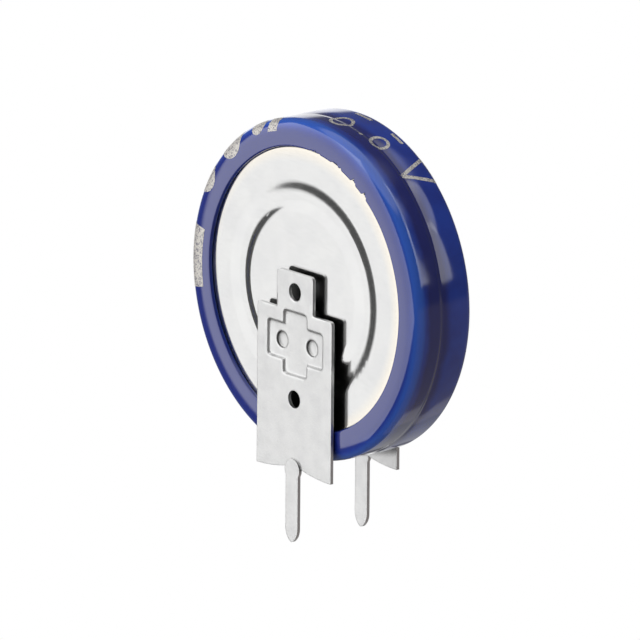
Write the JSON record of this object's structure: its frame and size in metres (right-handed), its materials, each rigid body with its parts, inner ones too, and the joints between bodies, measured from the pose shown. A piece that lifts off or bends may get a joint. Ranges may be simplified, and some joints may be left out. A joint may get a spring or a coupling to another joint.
{
  "type": "coin double-layer capacitor",
  "caption": "Round board-mounted energy storage capacitor: stacked flat cells in a blue shrink sleeve, standing on edge on flat welded terminals.",
  "frame": {"origin": "on the board's surface, midway between the two pins", "axes": "+X across the terminal plates, -Y out of the negative face, +Z away from the board through the disc's centre"},
  "size_m": [0.019, 0.0052, 0.0236],
  "materials": {
    "sleeve_film": "glossy translucent blue shrink film",
    "tinned_strip": "matt tinned strip",
    "cell_steel": "satin drawn steel",
    "gasket_plastic": "moulded",
    "electrode_carbon": "activated carbon, soaked",
    "conductive_carbon": "dried carbon paste",
    "separator_paper": "porous sheet"
  },
  "bodies": {
    "root": {"sleeve": "sleeve_film", "front_terminal": "tinned_strip", "rear_terminal": "tinned_strip", "front_case": "cell_steel", "front_case_carbon": "conductive_carbon", "front_positive_electrode": "electrode_carbon", "front_separator": "separator_paper", "front_negative_electrode": "electrode_carbon", "front_cap_carbon": "conductive_carbon", "front_gasket": "gasket_plastic", "front_cap": "cell_steel", "rear_case": "cell_steel", "rear_case_carbon": "conductive_carbon", "rear_positive_electrode": "electrode_carbon", "rear_separator": "separator_paper", "rear_negative_electrode": "electrode_carbon", "rear_cap_carbon": "conductive_carbon", "rear_gasket": "gasket_plastic", "rear_cap": "cell_steel"}
  },
  "joints": []
}
